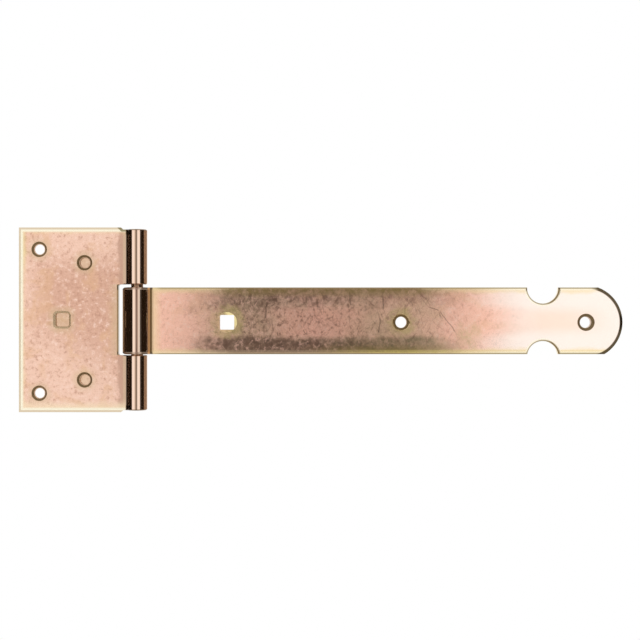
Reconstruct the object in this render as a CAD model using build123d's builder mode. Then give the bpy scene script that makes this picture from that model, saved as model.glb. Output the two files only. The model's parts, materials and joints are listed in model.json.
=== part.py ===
"""Tee hinge: a doubled cross leaf, a long strap with a rolled eye, and the pin they turn on.

Millimetres. The origin lies on the back of the cross leaf, behind the middle of its hole pattern.
The pin runs along Z, the strap points to +X, and the show faces look to -Y.
"""

import os
from math import acos, atan2, degrees, sqrt

from build123d import *

os.makedirs("parts", exist_ok=True)

# Pin and its fits
pin_diameter = 7.2
pin_grip = 0.03
pin_running = 0.08
pin_end_bevel = 0.7

# Cross leaf: one sheet folded double
leaf_sheet = 2.5
fold_gap = 0.2
leaf_height = 110.6
leaf_reach = 70.5
leaf_bend = 1.5
leaf_roll_width = 1.7
leaf_roll_depth = 0.5
knuckle_step = 1.2
knuckle_neck = 1.8
knuckle_bevel = 0.5

# Strap: one flat bar with a rolled eye
strap_length = 300.0
strap_width = 40.0
strap_thickness = 5.0
strap_bend = 3.0
strap_edge_round = 1.4
tip_edge_round = 2.2
eye_seam = 0.5

# Play of the eye in the leaf's window
eye_gap_above = 1.8
eye_gap_below = 0.6
eye_gap_behind = 2.35
window_corner = 1.3

# Punching of the strap, on a line a little below its middle
punch_drop = 0.9
tip_shoulder = 2.3
notch_radius = 9.35
notch_outside = 0.6
notch_from_tip_hole = 25.7
strap_screw_spacing = 110.6
strap_square_from_screw = 104.4
strap_square = 8.8
strap_square_corner = 0.8
square_sink = 1.75
square_sink_angle = 130.0
strap_screw_radius = 3.35
strap_sink = 1.85

# Punching of the cross leaf, through the front layer only
screw_drop = 0.9
outer_screw_inset = 12.3
outer_screw_margin = 12.25
inner_screw_reach = 31.1
inner_screw_margin = 20.25
leaf_screw_radius = 3.0
leaf_sink = 1.6
leaf_square = 8.0
leaf_square_corner = 1.4
square_bevel = 1.3

# The folded-back layer ends just inside the rim of the outer screw holes, clear of the shank
return_under_rim = 0.4

# Edges nearer than this to a bend line belong to the bend
seam = 0.01

# Sizes that follow for the cross leaf
pin_radius = pin_diameter / 2
knuckle_bore = pin_radius + pin_grip
knuckle_radius = knuckle_bore + leaf_sheet
knuckle_length = leaf_height - 2 * knuckle_step
leaf_half = leaf_sheet + fold_gap / 2
outer_screw_reach = leaf_reach - outer_screw_inset
outer_screw_spacing = leaf_height - 2 * outer_screw_margin
inner_screw_spacing = leaf_height - 2 * inner_screw_margin
leaf_square_reach = (outer_screw_reach + inner_screw_reach) / 2
return_reach = outer_screw_reach - leaf_screw_radius + return_under_rim

# Sizes that follow for the strap and the window it sits in
eye_bore = pin_radius + pin_running
eye_radius = eye_bore + strap_thickness
strap_half = strap_thickness / 2
strap_drop = (eye_gap_above - eye_gap_below) / 2
strap_tip = strap_length - eye_radius
tip_radius = strap_width / 2 + tip_shoulder
tip_flat = tip_radius - tip_edge_round
tip_hole_x = strap_tip - tip_radius
notch_x = tip_hole_x - notch_from_tip_hole
strap_square_x = tip_hole_x - strap_screw_spacing - strap_square_from_screw
notch_offset = strap_width / 2 + notch_outside
punch_z = -strap_drop - punch_drop
window_height = strap_width + eye_gap_above + eye_gap_below
window_depth = eye_radius + eye_gap_behind

# The pin seen from the origin, and planes that have their own origin on the pin
pin_x = leaf_square_reach
pin_y = -leaf_half
pin_front = Plane(origin=(pin_x, pin_y, 0), x_dir=(1, 0, 0), z_dir=(0, -1, 0))
leaf_bottom = Plane(origin=(pin_x, pin_y, -leaf_height / 2))
strap_bottom = Plane(origin=(pin_x, pin_y, -strap_drop - strap_width / 2))
tip_side = Plane(origin=(pin_x + tip_hole_x, pin_y, punch_z), x_dir=(0, 0, 1), z_dir=(-1, 0, 0))

# Where each bend runs out of the flat, and its angle seen from the pin
leaf_inner_bend = leaf_bend + leaf_sheet
leaf_bend_y = leaf_half + leaf_bend
leaf_bend_x = sqrt((knuckle_radius + leaf_bend) ** 2 - leaf_bend_y**2)
leaf_bend_angle = degrees(atan2(leaf_bend_y, leaf_bend_x))
leaf_bend_arc = 90 - leaf_bend_angle
knuckle_wrap = 360 - 2 * leaf_bend_angle
neck_x = leaf_bend_x + knuckle_neck
strap_inner_bend = strap_bend + strap_thickness
strap_bend_y = strap_half + strap_bend
strap_bend_reach = eye_radius + strap_bend
strap_bend_x = sqrt(strap_bend_reach**2 - strap_bend_y**2)
strap_bend_angle = degrees(atan2(strap_bend_y, strap_bend_x))
strap_bend_arc = 90 - strap_bend_angle

# The eye is rolled until its end is one seam away from the inside of the bend
seam_reach = strap_inner_bend + eye_seam
open_cosine = (strap_bend_reach**2 + eye_radius**2 - seam_reach**2) / (2 * strap_bend_reach * eye_radius)
eye_wrap = 360 - degrees(acos(open_cosine))

# Cross leaf
with BuildPart() as cross_leaf:
    # Keyhole section: front layer, bend, knuckle, bend, back layer
    with BuildSketch(leaf_bottom):
        with BuildLine():
            CenterArc((0, 0), knuckle_radius, 180 + leaf_bend_angle, knuckle_wrap)
            CenterArc((0, 0), knuckle_bore, 180 + leaf_bend_angle, knuckle_wrap)
            front_out = CenterArc((-leaf_bend_x, -leaf_bend_y), leaf_bend, 90, -leaf_bend_arc)
            front_in = CenterArc((-leaf_bend_x, -leaf_bend_y), leaf_inner_bend, 90, -leaf_bend_arc)
            back_out = CenterArc((-leaf_bend_x, leaf_bend_y), leaf_bend, 270, leaf_bend_arc)
            back_in = CenterArc((-leaf_bend_x, leaf_bend_y), leaf_inner_bend, 270, leaf_bend_arc)
            Polyline(front_out @ 0, (-leaf_reach, -leaf_half), (-leaf_reach, -fold_gap / 2), front_in @ 0)
            Polyline(back_out @ 0, (-return_reach, leaf_half), (-return_reach, fold_gap / 2), back_in @ 0)
        make_face()
    extrude(amount=leaf_height)

    # Outline with stepped-in knuckle ends
    with BuildSketch(pin_front):
        with BuildLine():
            Polyline(
                (-leaf_reach, -leaf_height / 2),
                (-neck_x - knuckle_step, -leaf_height / 2),
                (-neck_x, -knuckle_length / 2),
                (knuckle_radius, -knuckle_length / 2),
                (knuckle_radius, knuckle_length / 2),
                (-neck_x, knuckle_length / 2),
                (-neck_x - knuckle_step, leaf_height / 2),
                (-leaf_reach, leaf_height / 2),
                close=True,
            )
        make_face()
    extrude(amount=knuckle_radius, both=True, mode=Mode.INTERSECT)

    # Window for the strap's eye
    with BuildSketch(pin_front):
        with Locations((-window_depth, 0)):
            window = Rectangle(
                window_depth + knuckle_radius, window_height, align=(Align.MIN, Align.CENTER)
            )
        fillet(window.vertices().group_by(Axis.X)[0], window_corner)
    extrude(amount=knuckle_radius, both=True, mode=Mode.SUBTRACT)

    # Window and knuckle ends broken all round the outer side, from the front flat over to the back
    front = cross_leaf.faces().filter_by(Plane.XZ).sort_by(Axis.Y)[0]
    ends = front.edges().filter_by(lambda edge: pin_x - neck_x < edge.center().X < pin_x - leaf_bend_x - seam)
    chamfer(ends, knuckle_bevel)

    # Outer edges of both layers drawn down by the shears
    for side in (0, -1):
        layer = cross_leaf.faces().filter_by(Plane.XZ).sort_by(Axis.Y)[side]
        rims = layer.edges().filter_by(lambda edge: edge.center().X < pin_x - window_depth - knuckle_bevel)
        chamfer(rims, leaf_roll_width, leaf_roll_depth, reference=layer)

    # Square bolt hole through the front layer
    with BuildSketch(pin_front.offset(leaf_half)):
        with Locations((-leaf_square_reach, 0)):
            RectangleRounded(leaf_square, leaf_square, leaf_square_corner)
    extrude(amount=-leaf_half, mode=Mode.SUBTRACT)
    front = cross_leaf.faces().filter_by(Plane.XZ).sort_by(Axis.Y)[0]
    chamfer(front.inner_wires().edges(), square_bevel)

    # Countersunk screw holes through the front layer, which leave the back layer whole
    with Locations(pin_front.offset(leaf_half)):
        with Locations((-outer_screw_reach, -screw_drop)):
            with GridLocations(0, outer_screw_spacing, 1, 2):
                Hole(leaf_screw_radius, leaf_half)
        with Locations((-inner_screw_reach, -screw_drop)):
            with GridLocations(0, inner_screw_spacing, 1, 2):
                Hole(leaf_screw_radius, leaf_half)
    front = cross_leaf.faces().filter_by(Plane.XZ).sort_by(Axis.Y)[0]
    chamfer(front.inner_wires().edges().filter_by(lambda edge: edge.is_closed), leaf_sink)
cross_leaf.part.label = "cross_leaf"
export_step(cross_leaf.part, "parts/cross_leaf.step")

# Strap
with BuildPart() as strap_leaf:
    # Section: flat that runs past the tip, reverse bend, rolled eye that ends behind the flat
    with BuildSketch(strap_bottom):
        with BuildLine():
            eye_out = CenterArc((0, 0), eye_radius, -strap_bend_angle, -eye_wrap)
            eye_in = CenterArc((0, 0), eye_bore, -strap_bend_angle, -eye_wrap)
            Line(eye_out @ 1, eye_in @ 1)
            bend_out = CenterArc((strap_bend_x, -strap_bend_y), strap_bend, 90, strap_bend_arc)
            bend_in = CenterArc((strap_bend_x, -strap_bend_y), strap_inner_bend, 90, strap_bend_arc)
            Polyline(bend_out @ 0, (strap_length, -strap_half), (strap_length, strap_half), bend_in @ 0)
        make_face()
    extrude(amount=strap_width)

    # Long edges rounded on the front, and on round the eye
    front = strap_leaf.faces().filter_by(Plane.XZ).sort_by(Axis.Y)[0]
    fillet(front.edges().filter_by(Axis.X), strap_edge_round)

    # Round tip and its two half-round notches
    with BuildSketch(pin_front):
        with Locations((-eye_radius, -strap_drop)):
            Rectangle(tip_hole_x + eye_radius, strap_width, align=(Align.MIN, Align.CENTER))
        with Locations((tip_hole_x, punch_z)):
            Circle(tip_radius)
        with Locations((notch_x, punch_z)):
            with Locations((0, notch_offset), (0, -notch_offset)):
                Circle(notch_radius, mode=Mode.SUBTRACT)
    extrude(amount=eye_radius, both=True, mode=Mode.INTERSECT)

    # Rim of the tip turned down
    with BuildSketch(tip_side):
        with BuildLine():
            rim = CenterArc((tip_flat, tip_edge_round - strap_half), tip_edge_round, -90, 90)
            clear = Polyline(rim @ 0, (tip_flat, -strap_thickness), (strap_width, -strap_thickness))
            Polyline(clear @ 1, (strap_width, tip_edge_round - strap_half), rim @ 1)
        make_face()
    revolve(axis=Axis(tip_side.origin, (0, 1, 0)), revolution_arc=180, mode=Mode.SUBTRACT)

    # Rims of the notches rounded like the long edges
    for side in (notch_offset, -notch_offset):
        notch_side = Plane(origin=(pin_x + notch_x, pin_y, punch_z + side), z_dir=(0, 0, 1))
        with BuildSketch(notch_side):
            with BuildLine():
                rim_centre = (notch_radius + strap_edge_round, strap_edge_round - strap_half)
                rim = CenterArc(rim_centre, strap_edge_round, 180, 90)
                clear = Polyline(rim @ 0, (0, rim_centre[1]), (0, -strap_thickness))
                Polyline(clear @ 1, (rim_centre[0], -strap_thickness), rim @ 1)
            make_face()
        revolve(axis=Axis(notch_side.origin, (0, 1, 0)), revolution_arc=360, mode=Mode.SUBTRACT)

    # Square bolt hole in a round sink
    with BuildSketch(pin_front.offset(strap_half)):
        with Locations((strap_square_x, punch_z)):
            RectangleRounded(strap_square, strap_square, strap_square_corner)
    extrude(amount=-strap_thickness, mode=Mode.SUBTRACT)
    with Locations(pin_front.offset(strap_half)):
        with Locations((strap_square_x, punch_z)):
            sink_radius = strap_square / 2 + square_sink
            CounterSinkHole(strap_square / 2, sink_radius, strap_thickness, square_sink_angle)

    # Countersunk screw holes
    with Locations(pin_front.offset(strap_half)):
        with Locations((tip_hole_x, punch_z), (tip_hole_x - strap_screw_spacing, punch_z)):
            CounterSinkHole(strap_screw_radius, strap_screw_radius + strap_sink, strap_thickness, 90)
strap_leaf.part.label = "strap_leaf"
export_step(strap_leaf.part, "parts/strap_leaf.step")

# Pin
with BuildPart() as hinge_pin:
    with Locations((pin_x, pin_y, 0)):
        Cylinder(pin_radius, knuckle_length)
    chamfer(hinge_pin.edges().filter_by(GeomType.CIRCLE), pin_end_bevel)
hinge_pin.part.label = "hinge_pin"
export_step(hinge_pin.part, "parts/hinge_pin.step")
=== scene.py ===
"""Looks of the tee hinge: yellow-passivated zinc on steel, in a plain white studio. Sizes in metres."""

import json
import math
from functools import partial, reduce
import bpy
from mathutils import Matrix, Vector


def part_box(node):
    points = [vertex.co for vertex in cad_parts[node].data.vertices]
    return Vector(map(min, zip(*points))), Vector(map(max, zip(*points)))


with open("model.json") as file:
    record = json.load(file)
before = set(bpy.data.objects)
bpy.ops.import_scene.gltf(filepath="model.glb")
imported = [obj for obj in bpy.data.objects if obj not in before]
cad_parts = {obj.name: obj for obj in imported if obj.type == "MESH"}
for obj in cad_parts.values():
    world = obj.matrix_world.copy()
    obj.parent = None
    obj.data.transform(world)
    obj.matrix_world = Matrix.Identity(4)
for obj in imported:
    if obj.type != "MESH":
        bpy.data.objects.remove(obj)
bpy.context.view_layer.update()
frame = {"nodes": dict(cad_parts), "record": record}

from types import SimpleNamespace

import bmesh
import bpy
from mathutils import Vector

MM = 0.001
WHITE = (1.0, 1.0, 1.0, 1.0)

# Places on the hinge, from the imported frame
mounts = {mount["name"]: mount for mount in frame["record"]["mounts"]}
leaf_low, leaf_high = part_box("cross_leaf")
strap_low, strap_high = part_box("strap_leaf")
pin_low, pin_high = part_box("hinge_pin")
pin_x = (pin_low.x + pin_high.x) / 2
pin_y = (pin_low.y + pin_high.y) / 2
eye_radius = pin_x - strap_low.x
eye_right = pin_x + eye_radius
knuckle_radius = leaf_high.x - pin_x
bend = pin_x - knuckle_radius
strap_front = mounts["door_bolt"]["pos_m"][1]
strap_middle = (strap_low.z + strap_high.z) / 2
strap_half_width = (strap_high.z - strap_low.z) / 2

# Round holes and square holes seen from the front, as (x, z)
post_screw = mounts["post_screws"]["pos_m"]
post_pitch = mounts["post_screws"]["dims"]["spacing_y_mm"] * MM
post_hole = mounts["post_screws"]["dims"]["hole_r_mm"] * MM
door_screw = mounts["door_screws"]["pos_m"]
door_pitch = mounts["door_screws"]["dims"]["spacing_x_mm"] * MM
door_hole = mounts["door_screws"]["dims"]["hole_r_mm"] * MM
door_bolt = mounts["door_bolt"]["pos_m"]
inner_screw_pitch = 70.1 * MM
outer_holes = [(post_screw[0], post_screw[2] + side * post_pitch / 2) for side in (-1, 1)]
inner_holes = [(-post_screw[0], post_screw[2] + side * inner_screw_pitch / 2) for side in (-1, 1)]
strap_holes = [(door_screw[0] + side * door_pitch / 2, door_screw[2]) for side in (-1, 1)]
strap_square = (door_bolt[0], door_bolt[2])
square_sink_radius = 5.5 * MM
leaf_square = (0.0, 0.0)
leaf_square_half = 4 * MM
leaf_square_corner = 1.4 * MM
middle_hole, tip_hole = strap_holes
tip_radius = strap_high.x - tip_hole[0]
notch_radius = 9.35 * MM
notch_offset = 20.6 * MM
notch_x = tip_hole[0] - 25.7 * MM
notches = [(notch_x, tip_hole[1] + side * notch_offset) for side in (-1, 1)]
window_edge = 33.62 * MM
window_half = 21.2 * MM

# Rolled eye, bent tighter at its front than a true round: how far it stands proud there, over what
# share of its radius, and how far the proudest line lies to the right of the pin
EYE_SWELL = 0.27 * MM
EYE_SWELL_REACH = 0.8
EYE_LEAN = 0.95 * MM

# Scratches on the strap, from (x, z) to (x, z), and their widths
SCRATCHES = [
    ((0.2191, 0.0077), (0.2263, 0.0056), 0.8 * MM),
    ((0.2263, 0.0056), (0.2358, -0.0079), 0.8 * MM),
    ((0.1924, 0.0142), (0.1921, 0.0059), 1.3 * MM),
    ((0.1904, 0.0017), (0.1898, -0.0085), 1.2 * MM),
    ((0.1230, 0.0107), (0.1215, -0.0001), 1.3 * MM),
    ((0.1724, 0.0178), (0.1727, 0.0083), 1.2 * MM),
]


def span(start, end):
    """Where something begins and where it is full, given in millimetres."""
    return start * MM, end * MM


class Field:
    """A number that changes over a surface: a socket whose operators add Math nodes."""

    def __init__(self, finish, socket):
        self.finish = finish
        self.socket = socket

    def __add__(self, other):
        return self.finish.math("ADD", self, other)

    def __sub__(self, other):
        return self.finish.math("SUBTRACT", self, other)

    def __rsub__(self, other):
        return self.finish.math("SUBTRACT", other, self)

    def __mul__(self, other):
        return self.finish.math("MULTIPLY", self, other)

    def __pow__(self, other):
        return self.finish.math("POWER", self, other)

    def __abs__(self):
        return self.finish.math("ABSOLUTE", self)

    __radd__ = __add__
    __rmul__ = __mul__


class Finish:
    """The node tree of one finish, with the point of the surface as x, y and z."""

    def __init__(self, name):
        self.material = bpy.data.materials.new(name)
        self.material.use_nodes = True
        self.tree = self.material.node_tree
        self.tree.nodes.clear()
        self.place = self.node("ShaderNodeTexCoord", out="Object")
        axes = self.node("ShaderNodeSeparateXYZ", sockets={"Vector": self.place}).socket.node.outputs
        self.x, self.y, self.z = (Field(self, axis) for axis in axes)

    def node(self, kind, settings=None, sockets=None, out=0):
        made = self.tree.nodes.new(kind)
        for name, value in (settings or {}).items():
            setattr(made, name, value)
        for name, value in (sockets or {}).items():
            if isinstance(value, Field):
                self.tree.links.new(value.socket, made.inputs[name])
            else:
                made.inputs[name].default_value = value
        return Field(self, made.outputs[out]) if made.outputs else None

    def math(self, operation, *values):
        return self.node("ShaderNodeMath", {"operation": operation}, dict(enumerate(values)))

    def least(self, *values):
        return reduce(partial(self.math, "MINIMUM"), values)

    def most(self, *values):
        return reduce(partial(self.math, "MAXIMUM"), values)

    def ramp(self, value, start, end):
        """0 at start, 1 at end, smooth between; start may be the larger."""
        sockets = {"Value": value, "From Min": start, "From Max": end}
        return self.node("ShaderNodeMapRange", {"interpolation_type": "SMOOTHSTEP"}, sockets)

    def noise(self, size, detail=2.0, roughness=0.5, distortion=0.0,
              stretch=(1.0, 1.0, 1.0), shift=0.0, turn=0.0):
        """Noise in lumps of about this size in metres, turned in the plane of the leaves, then drawn out."""
        place = self.place
        if turn:
            sockets = {"Vector": place, "Axis": (0.0, 1.0, 0.0), "Angle": math.radians(turn)}
            place = self.node("ShaderNodeVectorRotate", None, sockets)
        scale = tuple(1 / (size * s) for s in stretch)
        sockets = {"Vector": place, "Scale": scale, "Location": (shift, shift, shift)}
        place = self.node("ShaderNodeMapping", None, sockets)
        sockets = {"Vector": place, "Scale": 1.0, "Detail": detail,
                   "Roughness": roughness, "Distortion": distortion}
        return self.node("ShaderNodeTexNoise", None, sockets, "Fac")

    def mix(self, factor, first, second):
        return self.node("ShaderNodeMix", {"data_type": "RGBA"}, {0: factor, 6: first, 7: second}, 2)

    def distance(self, point):
        """Distance in the plane of the leaves from a point given as (x, z)."""
        return ((self.x - point[0]) ** 2 + (self.z - point[1]) ** 2) ** 0.5

    def square_distance(self, point, half, corner):
        """Distance outside a square with rounded corners, seen from the front."""
        flat = half - corner
        aside = self.most(abs(self.x - point[0]) - flat, 0.0)
        above = self.most(abs(self.z - point[1]) - flat, 0.0)
        return (aside ** 2 + above ** 2) ** 0.5 - corner

    def scratch(self, start, end, width):
        """1 on a thin line between two points given as (x, z), running out at both ends."""
        run, rise = end[0] - start[0], end[1] - start[1]
        length = math.hypot(run, rise)
        along = ((self.x - start[0]) * run + (self.z - start[1]) * rise) * (1 / length)
        wander = (self.noise(6 * MM, 2.0, shift=17.0) - 0.5) * 2 * MM
        aside = ((self.x - start[0]) * rise - (self.z - start[1]) * run) * (1 / length) + wander
        ends = self.least(along, length - along)
        return self.ramp(abs(aside), width / 2, width / 6) * self.ramp(ends, 0.0, 1.5 * MM)

    def done(self, shader):
        self.node("ShaderNodeOutputMaterial", None, {"Surface": shader})
        return self.material


def rgb(red, green, blue):
    """A colour as a paint chip gives it, 0 to 255, turned to linear."""
    straight = [value / 255 for value in (red, green, blue)]
    linear = [v / 12.92 if v <= 0.04045 else ((v + 0.055) / 1.055) ** 2.4 for v in straight]
    return (*linear, 1.0)


# Zinc colours of the plated sheet and bar, with painted highlights and painted shade among them
ROSE = rgb(224, 178, 155)
ROSE_PALE = rgb(247, 206, 184)
ROSE_WARM = rgb(255, 201, 178)
ROSE_DEEP = rgb(252, 190, 168)
# Painted highlight at the strap's tip, softer along its middle
PEACH_HIGHLIGHT = rgb(253, 224, 204)
PEARL_HIGHLIGHT = rgb(255, 243, 233)
# Painted highlight along the rounded edges
CREAM_HIGHLIGHT = rgb(255, 247, 222)
STRAW = rgb(244, 220, 168)
STRAW_PALE = rgb(252, 230, 196)
# Painted highlight on the lit side of the strap's square sink
SINK_HIGHLIGHT = rgb(255, 238, 176)
DRAB = rgb(222, 204, 176)
LIME = rgb(238, 218, 160)
OCHRE = rgb(230, 184, 144)
SPECK_DARK = rgb(190, 142, 120)
SPECK_LIGHT = rgb(255, 220, 202)
HOLE_HAZE = rgb(214, 190, 150)
WINDOW_HAZE = rgb(216, 188, 154)
# Painted shade on the sheet beside the knuckles, then the tan of the bend
BEND_SHADE = rgb(203, 162, 140)
BEND_TAN = rgb(216, 186, 156)

# Zinc colours: the stain on the strap, and painted shade on its rounded edge
BROWN = rgb(184, 138, 120)
BROWN_DEEP = rgb(150, 110, 96)
UMBER = rgb(112, 88, 74)
GREYED = rgb(180, 156, 128)
SAGE = rgb(204, 176, 146)
SAGE_PALE = rgb(214, 182, 148)
MOSS = rgb(190, 176, 112)
OLIVE = rgb(154, 132, 84)
OLIVE_RIM_SHADE = rgb(92, 74, 36)
OLIVE_PALE = rgb(214, 190, 146)
BAND_OLIVE = rgb(128, 112, 84)
BAND_PALE = rgb(172, 152, 122)
FLECK_DARK = rgb(120, 90, 76)
FLECK_LIGHT = rgb(240, 194, 174)
STROKE = rgb(122, 90, 74)
FOOT_TAN = rgb(192, 166, 138)
FOOT_LIME = rgb(226, 206, 128)

# Zinc colours and painted shade: rims, sinks and sheared walls
SINK_SHADE = rgb(124, 104, 68)
SQUARE_SINK = rgb(212, 192, 160)
WINDOW_WALL_SHADE = rgb(150, 134, 100)
CORNER_OLIVE = rgb(120, 108, 60)
TOP_RIM_SHADE = rgb(190, 168, 120)
RIM_SHADE_CLEAN = rgb(160, 144, 104)
RIM_SHADE_STAINED = rgb(140, 120, 88)
NOTCH_RIM_SHADE = rgb(124, 98, 54)
TIP_RIM_SHADE = rgb(74, 58, 28)

# Zinc colours, painted reflections and painted shade: the barrels and the pin
BARREL = rgb(242, 212, 190)
# Painted reflection of the camera on the knuckles, and painted shade in their creases and at their ends
KNUCKLE_CAMERA_REFLECTION = rgb(163, 132, 106)
KNUCKLE_END_SHADE = rgb(120, 98, 70)
KNUCKLE_SHADE = rgb(52, 38, 24)
KNUCKLE_CREASE_SHADE = rgb(64, 48, 28)
# Painted reflections and painted shade on the rolled eye
EYE_CAMERA_REFLECTION = rgb(160, 126, 108)
EYE_HIGHLIGHT = rgb(204, 180, 160)
EYE_CREASE_SHADE = rgb(122, 92, 40)
EYE_END_SHADE = rgb(64, 48, 26)
AMBER_REFLECTION = rgb(206, 148, 82)
PIN_SHADE = rgb(132, 104, 82)


def grained(finish, colour, depth):
    """Soft light and dark specks of the plated sheet, under ochre clouds; depth 1 shows them in full."""
    specks = finish.noise(2.1 * MM, 4.0, 0.68, 0.1)
    clouds = finish.noise(15 * MM, 3.0, 0.6, 0.5, shift=3.0)
    colour = finish.mix(finish.ramp(specks, 0.49, 0.30) * (0.65 * depth), colour, SPECK_DARK)
    colour = finish.mix(finish.ramp(specks, 0.52, 0.68) * (0.75 * depth), colour, SPECK_LIGHT)
    return finish.mix(finish.ramp(clouds, 0.50, 0.68) * (0.50 * depth), colour, OCHRE)


def plated(finish, colour, wear, rolled, dust, swell=None):
    """Zinc: satin on the sheet, dull where wear is 1, mirror-like where rolled, chalky where dust is 1.

    Swell, at most 1, is how far the rolled eye stands proud of a true round, as a share of EYE_SWELL.
    """
    grain = finish.noise(0.9 * MM, 3.0, 0.6)
    smears = finish.noise(9 * MM, 2.0, 0.5, shift=7.0)
    satin = 0.12 + smears * 0.06 + grain * 0.05
    roughness = satin * (1.0 - rolled * 0.7) + wear * 0.4
    sockets = {"Height": grain * (1.0 - rolled), "Strength": 0.05, "Distance": 0.05 * MM}
    bump = finish.node("ShaderNodeBump", None, sockets)
    if swell is not None:
        sockets = {"Height": swell, "Strength": 1.0, "Distance": EYE_SWELL, "Normal": bump}
        bump = finish.node("ShaderNodeBump", None, sockets)
    sockets = {"Base Color": colour, "Metallic": 1.0 - dust, "Roughness": roughness, "Normal": bump}
    return finish.done(finish.node("ShaderNodeBsdfPrincipled", None, sockets))


def painted_reflection_line(finish, aside, outer, inner):
    """Line along the front of a barrel, this far to the right of the pin, for a painted reflection."""
    line = finish.ramp(abs(finish.x - pin_x - aside), outer, inner)
    return line * finish.ramp(finish.y, pin_y, pin_y - knuckle_radius) * 0.9


# Cross leaf: depths of its front, and bands inward from its outer edges
LEAF_FACING = span(-0.6, -1.4)
LEAF_FRONT_LAYER = span(-2.6, -2.7)
EDGE_STRAW = span(7, 2.5)
EDGE_CREAM = span(3.3, 1.9)
EDGE_DRAB = span(1.45, 1.1)
FOOT_STRAW = span(10, 5)
LIME_INWARD = span(8, 4)
LIME_UPWARD = span(30, 44)

# Cross leaf: where the sheet pales, and the haze about its holes and window
PALE_UPWARD = span(24, 46)
PALE_DOWNWARD = span(6, -30)
PALE_FROM_X = -4 * MM
HOLE_HAZE_REACH = span(8, 3)
WINDOW_HAZE_REACH = span(9, 2)

# Cross leaf: the cut corner, across it and upward
CORNER_ACROSS = span(88.0, 88.7)
CORNER_UPWARD = span(52.5, 53.1)

# Cross leaf: outward from the rims of its holes and its window
SINK_REACH = span(1.75, 1.5)
WALL_REACH = span(0.55, 0.2)
SQUARE_SINK_REACH = span(1.45, 1.15)
WINDOW_WALL_REACH = span(0.9, 0.5)
FAR_FROM_WINDOW = 50

# Cross leaf: half widths of the painted crease shade and painted camera reflection along its knuckles, and
# how far that reflection lies right of the pin
KNUCKLE_CREASE_WIDTH = span(0.8, 0.3)
KNUCKLE_REFLECTION_WIDTH = span(0.85, 0.2)
KNUCKLE_REFLECTION_ASIDE = 0.05 * MM


def knuckle_paint(finish, rolled, colour):
    """Rolled knuckles, bare of grain, with a painted reflection of the camera down their fronts, and painted
    shade in the creases along them and at their ends.
    """
    x, z = finish.x, finish.z
    crease = finish.ramp(abs(x - (bend + 0.3 * MM)), *KNUCKLE_CREASE_WIDTH)
    rolled_front = rolled * finish.ramp(finish.y, pin_y, pin_y - 2 * MM)
    rim_end = finish.ramp(abs(z), pin_high.z - 0.9 * MM, pin_high.z - 0.5 * MM)
    left_end = finish.ramp(abs(z), pin_high.z - 3.6 * MM, pin_high.z - 2.6 * MM)
    left_end = left_end * finish.ramp(x, pin_x - 2.8 * MM, pin_x - 3.6 * MM)
    line = painted_reflection_line(finish, KNUCKLE_REFLECTION_ASIDE, *KNUCKLE_REFLECTION_WIDTH)
    colour = finish.mix(rolled, colour, BARREL)
    colour = finish.mix(rolled * line, colour, KNUCKLE_CAMERA_REFLECTION)
    colour = finish.mix(rolled_front * rim_end * 0.8, colour, KNUCKLE_END_SHADE)
    colour = finish.mix(rolled_front * left_end * 0.9, colour, KNUCKLE_SHADE)
    return finish.mix(crease * 0.9, colour, KNUCKLE_CREASE_SHADE)


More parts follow.
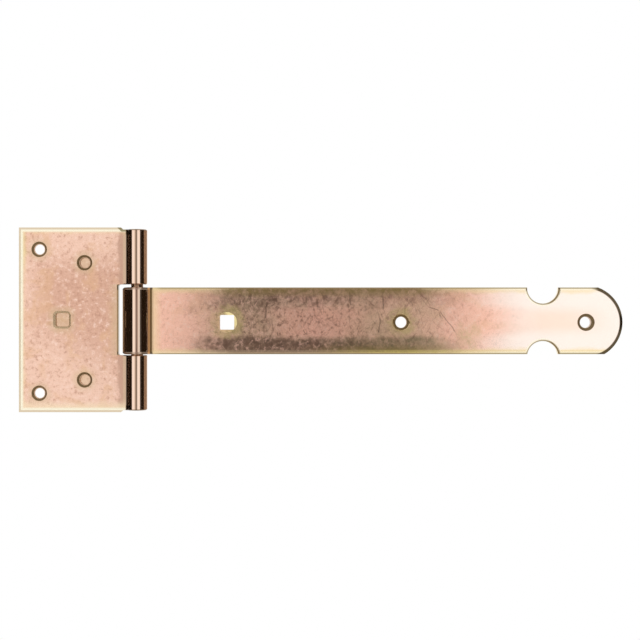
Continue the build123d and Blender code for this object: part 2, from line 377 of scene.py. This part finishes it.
def leaf_zinc():
    finish = Finish("leaf_zinc")
    x, z = finish.x, finish.z
    facing = finish.ramp(finish.y, *LEAF_FACING)
    uneven = finish.noise(6 * MM, 3.0, 0.6, shift=1.0) * 4 * MM

    # Rosy sheet, paler to the top, the lower left and the free edge
    pale = finish.most(finish.ramp(z, *PALE_UPWARD), finish.ramp(z + x * 0.5, *PALE_DOWNWARD),
                       finish.ramp(x, PALE_FROM_X, leaf_low.x))
    colour = grained(finish, finish.mix(pale * 0.95, ROSE, ROSE_PALE), 1.0)

    # Olive haze about the punched holes and along the window
    round_rim = finish.least(*[finish.distance(hole) - post_hole for hole in outer_holes + inner_holes])
    square_rim = finish.square_distance(leaf_square, leaf_square_half, leaf_square_corner)
    rim = finish.least(round_rim, square_rim)
    beyond = finish.ramp(abs(z), window_half, window_half + 1 * MM)
    window = window_edge - x + FAR_FROM_WINDOW * beyond
    colour = finish.mix(finish.ramp(rim + uneven, *HOLE_HAZE_REACH) * facing * 0.40, colour, HOLE_HAZE)
    colour = finish.mix(finish.ramp(window + uneven, *WINDOW_HAZE_REACH) * 0.6, colour, WINDOW_HAZE)

    # Painted shade on the sheet where it runs into the knuckles, with a tan line along the bend
    beside_window = finish.ramp(abs(z), window_half - 1 * MM, window_half + 1 * MM) * facing
    ragged = x + (uneven - 2 * MM) * 1.5
    bend_shade = finish.ramp(ragged, bend - 6.2 * MM, bend - 3.6 * MM) * beside_window
    at_bend = finish.ramp(x, bend - 2.4 * MM, bend - 1.5 * MM) * beside_window
    colour = finish.mix(bend_shade * 0.85, colour, BEND_SHADE)
    colour = finish.mix(at_bend * 0.8, colour, BEND_TAN)

    # Drawn-down outer edges: straw, lime at the upper left, then a painted cream highlight band that ends in
    # a drab line
    inward = x - leaf_low.x
    upward = z - leaf_low.z
    edge = finish.least(inward, leaf_high.z - z, upward)
    lime = finish.ramp(inward + uneven, *LIME_INWARD) * finish.ramp(z + uneven * 2, *LIME_UPWARD)
    colour = finish.mix(finish.ramp(edge + uneven, *EDGE_STRAW) * 0.6, colour, STRAW)
    colour = finish.mix(finish.ramp(upward + uneven, *FOOT_STRAW) * 0.6, colour, STRAW_PALE)
    colour = finish.mix(lime * facing * 0.7, colour, LIME)
    colour = finish.mix(finish.ramp(edge, *EDGE_CREAM), colour, CREAM_HIGHLIGHT)
    colour = finish.mix(finish.ramp(edge, *EDGE_DRAB) * 0.95, colour, DRAB)

    # Olive on the cut corner where the top edge steps down to the knuckle
    corner = finish.ramp(x + z, *CORNER_ACROSS) * finish.ramp(z, *CORNER_UPWARD) * facing
    colour = finish.mix(corner * 0.8, colour, CORNER_OLIVE)
    rolled = finish.ramp(x, bend - 0.6 * MM, bend)
    colour = knuckle_paint(finish, rolled, colour)

    # Painted shade on the sinks of the round holes, lighter on their sheared walls, a greyer sink on the
    # square hole, and painted shade on the window's wall, down to the folded-back layer
    front_layer = finish.ramp(finish.y, *LEAF_FRONT_LAYER)
    sunk = finish.ramp(round_rim, *SINK_REACH) * front_layer
    wall = finish.ramp(round_rim, *WALL_REACH) * front_layer
    squared = finish.ramp(square_rim, *SQUARE_SINK_REACH) * front_layer
    colour = finish.mix(sunk * (0.9 - wall * 0.8), colour, SINK_SHADE)
    colour = finish.mix(squared * 0.9, colour, SQUARE_SINK)
    colour = finish.mix(finish.ramp(window, *WINDOW_WALL_REACH) * 0.9, colour, WINDOW_WALL_SHADE)
    return plated(finish, colour, sunk + squared, rolled, wall * 0.8)


# Strap: where its layers begin and end along it
PEARL_ALONG = span(250, 292)
PEACH_BEGINS = span(268, 290)
PEACH_ENDS = span(336, 300)
STAIN_BEGINS = span(64, 104)
STAIN_ENDS = span(254, 206)
UPPER_SINKS = span(115, 140)
UPPER_ENDS = span(188, 150)
UPPER_FAR_BEGINS = span(160, 190)
SAGE_BEGINS = span(158, 174)
SAGE_ENDS = span(236, 222)
BAND_TURNS_OLIVE = span(140, 190)
BAND_PALES = span(195, 235)
FLECKS_FADE = span(130, 210)
MOSSY_BEGINS = span(130, 180)
FOOT_BEGINS = span(66, 90)
FOOT_TURNS_LIME = span(140, 200)
CREAMY_BEGINS = span(235, 275)
TOP_RIM_ENDS = span(275, 235)

# Strap: middles of its grey and rosy patches along it, how far they reach, and the olive spot as (x, z)
GREYED_X, GREYED_REACH = 109 * MM, span(26, 5)
ROSY_X, ROSY_REACH, ROSY_HEIGHT = 152 * MM, span(36, 14), span(11, 6)
OLIVE_SPOT, OLIVE_SPOT_REACH = (243 * MM, -10 * MM), span(11, 3)

# Strap: heights above its middle, or to both sides of it for the painted pearl and peach highlights
PEARL_LEADS = span(4, 12)
PEACH_MIDDLE = span(11, 2)
STAIN_TOP_LAG = span(6, 14)
UPPER_HEIGHT = span(2, 12)
UPPER_FAR_HEIGHT = span(5, 14)
LOWER_HEIGHT = span(-8, -12)
MOSSY_HEIGHT = span(-2, 2)

# Strap: bands inward from its edges
OLIVE_EDGE = span(7, 2.5)
OLIVE_LINE = span(1.9, 1.2)
FOOT_EDGE = span(3.0, 2.0)
STRAW_EDGE = span(4.5, 1.5)
CREAM_EDGE = span(2.0, 1.4)
TOP_RIM_INWARD = span(1.8, 1.2)
DARK_RIM_INWARD = span(1.0, 0.6)
NOTCH_RIM_INWARD = span(1.2, 0.7)
TIP_RIM_INWARD = span(2.5, 1.9)
EYE_RIM_INWARD = span(1.7, 1.1)

# Strap: how far right of the notches, and of the tip's hole, the painted dark rims begin
NOTCH_RIM_BEGINS = span(1, 6)
TIP_RIM_BEGINS = span(2, 8)

# Strap: outward from the rims of its holes, and across the square hole's sink to its lit corner
STRAP_SINK = span(1.9, 1.7)
STRAP_WALL = span(0.25, -0.05)
STRAP_SQUARE_SINK = span(0.65, 0.45)
MIDDLE_SINK_NARROWER = 0.45 * MM
HALO_REACH = span(7, 0.5)
LIT_SINK = span(1, 4)

# Strap: half widths of the painted lines along its eye, and how far off its painted camera reflection the
# painted shade at its ends deepens
EYE_REFLECTION_WIDTH = span(1.2, 0.4)
EYE_HIGHLIGHT_WIDTH = span(1.3, 0.5)
EYE_CREASE_WIDTH = span(1.2, 0.4)
REFLECTION_STREAK_WIDTH = span(0.9, 0.2)
OFF_LINE = span(1.8, 3.2)

# Strap: the dark strokes of the stain, as (turn in degrees, shift of the noise)
STROKES = ((8, 9.0), (38, 11.0), (-30, 13.0))


def strap_fields(finish):
    """What the layers of the strap's finish share: places, noises and the stain on its middle."""
    x, y = finish.x, finish.y
    on = SimpleNamespace()
    on.height = finish.z - strap_middle
    on.across = abs(on.height)
    on.side = strap_half_width - on.across
    on.front = finish.ramp(y, pin_y, strap_front)
    on.front_round = finish.ramp(y, strap_front + 1.5 * MM, strap_front + 1.0 * MM)
    on.tip_round = finish.ramp(y, strap_front + 2.3 * MM, strap_front + 1.7 * MM)
    on.uneven = finish.noise(14 * MM, 4.0, 0.6, 0.6, shift=2.0) - 0.5
    on.mottles = finish.noise(5 * MM, 5.0, 0.72, 0.5, shift=5.0, turn=28)
    on.blotches = finish.ramp(on.mottles, 0.36, 0.66)
    on.wander = (finish.noise(11 * MM, 4.0, 0.68, 0.6, shift=23.0) - 0.5) * 30 * MM
    top_lag = finish.ramp(on.height, *STAIN_TOP_LAG) * 6 * MM
    start = finish.ramp(x + on.wander - top_lag, *STAIN_BEGINS)
    end = finish.ramp(x + on.uneven * 40 * MM, *STAIN_ENDS)
    on.stain = start * end * (0.5 + on.front * 0.5)
    on.rim = finish.least(*[finish.distance(hole) - door_hole for hole in strap_holes])
    on.square = finish.distance(strap_square) - square_sink_radius
    on.square_sink = finish.ramp(on.square, *STRAP_SQUARE_SINK)
    on.rolled = finish.ramp(x, eye_right + 1.2 * MM, eye_right)
    on.crease = finish.ramp(abs(x - (eye_right + 0.1 * MM)), *EYE_CREASE_WIDTH)
    on.beside_eye = finish.ramp(x, eye_right + 7 * MM, eye_right + 1 * MM)
    on.streak = finish.ramp(abs(x - (pin_x + 0.87 * eye_radius)), *REFLECTION_STREAK_WIDTH) * on.front
    return on


def strap_bar(finish, on):
    """Rosy bar under a painted pearl highlight at its tip, which comes first along both edges and last along
    its middle, where a painted peach highlight lies.
    """
    x = finish.x
    to_tip = x + finish.ramp(on.across, *PEARL_LEADS) * 13 * MM
    middle = finish.ramp(on.across, *PEACH_MIDDLE) * finish.ramp(x, *PEACH_BEGINS)
    colour = grained(finish, ROSE_WARM, 0.6)
    colour = finish.mix(finish.ramp(to_tip, *PEARL_ALONG) * 0.92, colour, PEARL_HIGHLIGHT)
    return finish.mix(middle * finish.ramp(x, *PEACH_ENDS) * 0.8, colour, PEACH_HIGHLIGHT)


def strap_stain(finish, on, colour):
    """Stain on the middle: sage and brown patches, dark bands along both edges, flecks and scratches."""
    x, height, uneven, stain = finish.x, on.height, on.uneven, on.stain
    patches = finish.noise(24 * MM, 4.0, 0.65, 0.6, shift=4.0)
    flecks = finish.noise(2.1 * MM, 4.0, 0.7, 0.4, shift=19.0)

    # Patches
    greyed = finish.ramp(abs(x + on.wander * 0.5 - GREYED_X), *GREYED_REACH)
    sagey = finish.ramp(x + uneven * 30 * MM, *SAGE_BEGINS) * finish.ramp(x + uneven * 30 * MM, *SAGE_ENDS)
    olive_spot = finish.ramp(finish.distance(OLIVE_SPOT) + uneven * 14 * MM, *OLIVE_SPOT_REACH)
    rosy = finish.ramp(abs(x + uneven * 24 * MM - ROSY_X), *ROSY_REACH)
    rosy = rosy * finish.ramp(abs(height + 1 * MM), *ROSY_HEIGHT)
    colour = finish.mix(stain * finish.ramp(patches, 0.42, 0.64) * 0.55, colour, SAGE)
    colour = finish.mix(stain * finish.ramp(on.mottles, 0.42, 0.66) * 0.42, colour, BROWN)
    colour = finish.mix(stain * greyed * 0.55, colour, GREYED)
    colour = finish.mix(stain * sagey * 0.45, colour, SAGE_PALE)
    colour = finish.mix(olive_spot * on.front * (0.15 + on.blotches * 0.5), colour, OLIVE_PALE)
    colour = finish.mix(stain * rosy * 0.6, colour, ROSE_DEEP)

    # Dark bands
    sinking = height + uneven * 16 * MM - finish.ramp(x, *UPPER_SINKS) * 2 * MM
    upper = finish.ramp(sinking, *UPPER_HEIGHT) * finish.ramp(x + uneven * 50 * MM, *UPPER_ENDS)
    upper_far = finish.ramp(height + uneven * 16 * MM, *UPPER_FAR_HEIGHT)
    upper_far = upper_far * finish.ramp(x + uneven * 30 * MM, *UPPER_FAR_BEGINS)
    lower = finish.ramp(height + uneven * 7 * MM, *LOWER_HEIGHT)
    lower_tint = finish.mix(finish.ramp(x + uneven * 60 * MM, *BAND_TURNS_OLIVE), UMBER, BAND_OLIVE)
    lower_tint = finish.mix(finish.ramp(x, *BAND_PALES), lower_tint, BAND_PALE)
    colour = finish.mix(stain * upper * (0.25 + on.blotches * 0.55), colour, UMBER)
    colour = finish.mix(stain * upper_far * (0.2 + on.blotches * 0.5), colour, BROWN_DEEP)
    colour = finish.mix(stain * lower * (0.62 + on.blotches * 0.38), colour, lower_tint)

    # Flecks, strokes and scratches
    flecked = stain * (1.0 - finish.ramp(x, *FLECKS_FADE) * 0.6)
    colour = finish.mix(flecked * finish.ramp(flecks, 0.50, 0.66) * 0.66, colour, FLECK_DARK)
    colour = finish.mix(flecked * finish.ramp(flecks, 0.49, 0.33) * 0.66, colour, FLECK_LIGHT)
    for turn, shift in STROKES:
        strokes = finish.noise(3.2 * MM, 3.0, 0.6, 0.3, (0.45, 1.0, 2.6), shift, turn)
        strokes = finish.ramp(strokes, 0.58, 0.71) * stain * (0.45 - rosy * 0.15)
        colour = finish.mix(strokes, colour, STROKE)
    for begun, ended, width in SCRATCHES:
        colour = finish.mix(finish.scratch(begun, ended, width) * on.front * 0.55, colour, UMBER)
    return colour


def strap_edges(finish, on, colour):
    """Olive along the stained edges, straw and a painted cream highlight along the clean ones, painted shade
    along the rounded rim.
    """
    x, side, stain = finish.x, on.side, on.stain
    clean = 1.0 - stain
    outward = finish.most(x - tip_hole[0], 0.0)
    tip = tip_radius - (outward ** 2 + (finish.z - tip_hole[1]) ** 2) ** 0.5
    bites = finish.least(*[finish.distance(notch) - notch_radius for notch in notches])
    edge = finish.least(side, tip, bites)

    # Olive on the stained part with painted shade on its rounded edge, and a bright foot along its bottom
    # edge
    ragged = side + (on.mottles - 0.5) * 9 * MM
    mossy = finish.most(finish.ramp(on.height, *MOSSY_HEIGHT), finish.ramp(x, *MOSSY_BEGINS))
    olive = finish.ramp(ragged, *OLIVE_EDGE) * stain * on.front * mossy * (0.4 + on.blotches * 0.5)
    foot = finish.ramp(on.height + strap_half_width, *FOOT_EDGE) * finish.ramp(x, *FOOT_BEGINS)
    foot_tint = finish.mix(finish.ramp(x, *FOOT_TURNS_LIME), FOOT_TAN, FOOT_LIME)
    colour = finish.mix(olive, colour, OLIVE)
    colour = finish.mix(finish.ramp(side, *OLIVE_LINE) * stain * on.front_round * 0.5, colour, OLIVE_RIM_SHADE)
    colour = finish.mix(foot * (0.15 + on.mottles * 0.8), colour, foot_tint)

    # Straw, a painted cream highlight, and painted shade on the top rim, on the clean part
    cream_highlight = 0.15 + finish.ramp(x, *CREAMY_BEGINS) * 0.45
    top_rim_shade = finish.ramp(strap_half_width - on.height, *TOP_RIM_INWARD) * on.front_round
    colour = finish.mix(finish.ramp(side + on.uneven * 5 * MM, *STRAW_EDGE) * clean * 0.6, colour, STRAW)
    colour = finish.mix(finish.ramp(edge, *CREAM_EDGE) * clean * cream_highlight, colour, CREAM_HIGHLIGHT)
    colour = finish.mix(top_rim_shade * clean * finish.ramp(x, *TOP_RIM_ENDS) * 0.6, colour, TOP_RIM_SHADE)

    # Painted shade along the rounded rim, wider at the notches and at the tip
    rim_shade = finish.mix(stain, RIM_SHADE_CLEAN, RIM_SHADE_STAINED)
    notch_shade = finish.ramp(bites, *NOTCH_RIM_INWARD) * finish.ramp(x - notch_x, *NOTCH_RIM_BEGINS)
    tip_shade = finish.ramp(tip, *TIP_RIM_INWARD) * finish.ramp(x - tip_hole[0], *TIP_RIM_BEGINS)
    colour = finish.mix(finish.ramp(edge, *DARK_RIM_INWARD) * on.front_round * 0.85, colour, rim_shade)
    colour = finish.mix(notch_shade * on.front_round * 0.8, colour, NOTCH_RIM_SHADE)
    return finish.mix(tip_shade * on.tip_round * 0.95, colour, TIP_RIM_SHADE)


def strap_halos(finish, on, colour):
    """Mossy tint about the holes on the stained part, and a painted highlight on the lit side of the square
    hole's sink.
    """
    halo = finish.least(on.rim, on.square) + on.uneven * 14 * MM + (on.mottles - 0.5) * 14 * MM
    to_light = (finish.x - strap_square[0]) * 0.8 + (finish.z - strap_square[1]) * 0.6
    lit = finish.ramp(to_light, *LIT_SINK)
    colour = finish.mix(finish.ramp(halo, *HALO_REACH) * on.stain * 0.55, colour, MOSS)
    return finish.mix(on.square_sink * lit, colour, SINK_HIGHLIGHT)


def strap_eye(finish, on, colour):
    """Rolled eye, bare of grain: a painted camera reflection with a painted highlight beside it, painted
    shade in the crease along its bend and at its ends, and a painted amber reflection of the bar.

    The bar is straw just beside it.
    """
    line = painted_reflection_line(finish, EYE_LEAN, *EYE_REFLECTION_WIDTH)
    highlight_line = painted_reflection_line(finish, EYE_LEAN + 1.4 * MM, *EYE_HIGHLIGHT_WIDTH)
    off_line = finish.ramp(abs(finish.x - pin_x - EYE_LEAN), *OFF_LINE)
    eye_end_shade = finish.ramp(on.side, *EYE_RIM_INWARD) * (0.35 + off_line * 0.55)
    colour = finish.mix(on.beside_eye * 0.6, colour, STRAW)
    colour = finish.mix(on.rolled, colour, BARREL)
    colour = finish.mix(on.rolled * highlight_line * 0.6, colour, EYE_HIGHLIGHT)
    colour = finish.mix(on.rolled * line, colour, EYE_CAMERA_REFLECTION)
    colour = finish.mix(on.crease * 0.9, colour, EYE_CREASE_SHADE)
    colour = finish.mix(on.rolled * eye_end_shade, colour, EYE_END_SHADE)
    return finish.mix(on.streak * 0.85, colour, AMBER_REFLECTION)


def eye_swell(finish):
    """How far the eye's front stands proud: 1 along its proudest line, falling twice as far to the left."""
    sideways = (finish.x - pin_x - EYE_LEAN) * (1 / (eye_radius * EYE_SWELL_REACH))
    sideways = finish.least(finish.most(sideways, -1.0), 1.0)
    proud = finish.math("COSINE", sideways * math.pi)
    proud = proud - (1.0 - proud) * finish.math("LESS_THAN", sideways, 0.0)
    return proud * finish.ramp(finish.y, pin_y, pin_y - 2 * MM)


def strap_zinc():
    finish = Finish("strap_zinc")
    on = strap_fields(finish)
    colour = strap_bar(finish, on)
    for layer in (strap_stain, strap_edges, strap_halos, strap_eye):
        colour = layer(finish, on, colour)

    # Painted shade on the sheared sinks of the screw holes, the middle one narrower, lighter on their
    # burnished walls
    middle_sink = finish.distance(middle_hole) - door_hole + MIDDLE_SINK_NARROWER
    tip_sink = finish.distance(tip_hole) - door_hole
    sunk = finish.ramp(finish.least(middle_sink, tip_sink), *STRAP_SINK)
    wall = finish.ramp(on.rim, *STRAP_WALL)
    colour = finish.mix(sunk * (0.95 - wall * 0.8), colour, SINK_SHADE)
    dust = on.beside_eye * (0.5 - on.rolled * 0.5) + wall * 0.8 + on.streak * 0.6 + on.crease * on.front * 0.5
    wear = sunk + on.square_sink * 0.7 + on.stain * 0.1
    return plated(finish, colour, wear, on.rolled, dust, eye_swell(finish))


def pin_zinc():
    finish = Finish("pin_zinc")
    # Painted shade: the pin is darkened for the shade in the gaps between the barrels
    colour = grained(finish, PIN_SHADE, 0.6)
    end = finish.ramp(abs(finish.z), pin_high.z - 1 * MM, pin_high.z)
    return plated(finish, colour, end * 0.3, 0.0, 0.0)


def dress(node, material):
    slots = frame["nodes"][node].data.materials
    slots.clear()
    slots.append(material)


dress("cross_leaf", leaf_zinc())
dress("strap_leaf", strap_zinc())
dress("hinge_pin", pin_zinc())

# Camera straight on, with the photograph's frame at the front of the strap
frame_width = 383.0 * MM
camera_distance = 0.72
view_x = 154.45 * MM
view_z = -0.12 * MM
camera = bpy.data.objects.new("camera", bpy.data.cameras.new("camera"))
camera.data.sensor_width = 36.0
camera.data.lens = camera.data.sensor_width * camera_distance / frame_width
camera.location = (view_x, strap_front - camera_distance, view_z)
camera.rotation_euler = (math.radians(90), 0, 0)
bpy.context.scene.collection.objects.link(camera)
bpy.context.scene.camera = camera

# White surroundings
world = bpy.data.worlds.new("studio")
world.use_nodes = True
world.node_tree.nodes["Background"].inputs["Color"].default_value = WHITE
world.node_tree.nodes["Background"].inputs["Strength"].default_value = 1.0
bpy.context.scene.world = world
bpy.context.scene.view_settings.view_transform = "Standard"

# The studio: a floor, upright dark flags on an arc round the pin, a dim gap between two soft panels
FLOOR_LEVEL, FLOOR_RADIUS, FLOOR_SIDES = -0.7, 3.0, 96
FLOOR_RUNS_OUT = (0.35, 0.85)
PAPER = rgb(238, 237, 235), rgb(246, 245, 243)
FLAG_RADIUS, FLAG_HALF_HEIGHT, FLAG_STEPS = 2.4, 0.32, 24
GAP_HALF_WIDTH, GAP_HALF_HEIGHT, GAP_DISTANCE = 0.55, 0.44, 3.0
GAP_MIDDLE = (0.56, 0.56, 0.56, 1.0)
GAP_OUTER = (0.36, 0.34, 0.32, 1.0)
GAP_DARKENS = (0.03, 0.12)
GAP_FADES = (0.50, 0.26)
PANEL_ASIDE, PANEL_DISTANCE, PANEL_WIDTH, PANEL_HEIGHT, PANEL_POWER = 0.64, 0.78, 0.56, 0.6, 0.1

# A dull surface with no gloss
MATT = {"Roughness": 1.0, "Specular IOR Level": 0.0}


def staged(name, mesh, material):
    made = bpy.data.objects.new(name, mesh)
    mesh.materials.append(material)
    bpy.context.scene.collection.objects.link(made)
    return made


def glow(finish, colour):
    return finish.node("ShaderNodeEmission", None, {"Color": colour, "Strength": 1.0})


def floor_paper():
    """Pale paper that keeps a shadow under the hinge and runs out to white."""
    finish = Finish("floor_paper")
    pale = finish.mix(finish.noise(4 * MM, 3.0), *PAPER)
    paper = finish.node("ShaderNodeBsdfPrincipled", None, {"Base Color": pale, **MATT})
    rays = finish.node("ShaderNodeLightPath").socket.node.outputs
    seen = Field(finish, rays["Is Camera Ray"]) + Field(finish, rays["Is Glossy Ray"])
    seen = finish.least(seen + Field(finish, rays["Is Transmission Ray"]), 1.0)
    away = finish.ramp(((finish.x - view_x) ** 2 + finish.y ** 2) ** 0.5, *FLOOR_RUNS_OUT)
    sockets = {0: seen * away, 1: paper, 2: glow(finish, WHITE)}
    return finish.done(finish.node("ShaderNodeMixShader", None, sockets))


def floor():
    shape = bmesh.new()
    bmesh.ops.create_circle(shape, cap_ends=True, segments=FLOOR_SIDES, radius=FLOOR_RADIUS)
    mesh = bpy.data.meshes.new("floor")
    shape.to_mesh(mesh)
    shape.free()
    for vertex in mesh.vertices:
        vertex.co += Vector((view_x, 0.0, FLOOR_LEVEL))
    return staged("floor", mesh, floor_paper())


def card_tone(name, tone):
    """Cloth of a dark card that is only seen in reflections."""
    finish = Finish(name)
    weave = finish.noise(3 * MM, 2.0)
    colour = finish.mix(weave, tuple(0.8 * t for t in tone) + (1.0,), tone + (1.0,))
    return finish.done(finish.node("ShaderNodeBsdfPrincipled", None, {"Base Color": colour, **MATT}))


def gap_tone():
    """Dim gap between the soft panels, darkest above and below the camera, that fades out to both sides."""
    finish = Finish("gap_tone")
    aside = finish.ramp(abs(finish.x - view_x), *GAP_FADES)
    level = finish.ramp(abs(finish.z - view_z), *GAP_DARKENS)
    sockets = {0: level, 1: glow(finish, GAP_MIDDLE), 2: glow(finish, GAP_OUTER)}
    dim = finish.node("ShaderNodeMixShader", None, sockets)
    sockets = {0: aside, 1: finish.node("ShaderNodeBsdfTransparent"), 2: dim}
    return finish.done(finish.node("ShaderNodeMixShader", None, sockets))


def reflected_only(card):
    card.visible_camera = False
    card.visible_diffuse = False
    card.visible_shadow = False
    return card


def patch(name, corners, material):
    """Flat four-cornered card."""
    mesh = bpy.data.meshes.new(name)
    mesh.from_pydata(corners, [], [(0, 1, 2, 3)])
    return reflected_only(staged(name, mesh, material))


def flag(name, start, end, material):
    """Upright card on an arc round the pin, between bearings in degrees to the right of the camera side."""
    shape = bmesh.new()
    rows = []
    for step in range(FLAG_STEPS + 1):
        bearing = math.radians(start + (end - start) * step / FLAG_STEPS)
        spot = Vector((pin_x + FLAG_RADIUS * math.sin(bearing), pin_y - FLAG_RADIUS * math.cos(bearing), 0.0))
        rows.append([shape.verts.new(spot + Vector((0, 0, side * FLAG_HALF_HEIGHT))) for side in (-1, 1)])
    for near, far in zip(rows, rows[1:]):
        shape.faces.new((near[0], far[0], far[1], near[1]))
    mesh = bpy.data.meshes.new(name)
    shape.to_mesh(mesh)
    shape.free()
    return reflected_only(staged(name, mesh, material))


def soft_panel(name, side, target):
    """Soft studio lamp, to the right where side is 1, turned to the target."""
    lamp = bpy.data.lights.new(name, "AREA")
    lamp.shape = "RECTANGLE"
    lamp.size = PANEL_WIDTH
    lamp.size_y = PANEL_HEIGHT
    lamp.energy = PANEL_POWER
    made = bpy.data.objects.new(name, lamp)
    made.location = (side * PANEL_ASIDE, -PANEL_DISTANCE, 0.0)
    made.rotation_euler = (Vector(target) - made.location).to_track_quat("-Z", "Y").to_euler()
    bpy.context.scene.collection.objects.link(made)
    return made


floor()
black = card_tone("black_card", (0.022, 0.014, 0.008))
umber = card_tone("umber_card", (0.10, 0.05, 0.025))
brown = card_tone("brown_card", (0.37, 0.27, 0.19))
flag("right_flag", 39, 91, black)
flag("right_back_flag", 91, 150, brown)
flag("left_flag", -113, -51, black)
flag("left_back_flag", -150, -113, umber)
gap_corners = [(view_x + side * GAP_HALF_WIDTH, -GAP_DISTANCE, level * GAP_HALF_HEIGHT)
               for side, level in ((-1, -1), (1, -1), (1, 1), (-1, 1))]
patch("camera_gap", gap_corners, gap_tone())
soft_panel("right_panel", 1, (0.3, 0.0, 0.0))
soft_panel("left_panel", -1, (0.0, 0.0, 0.0))
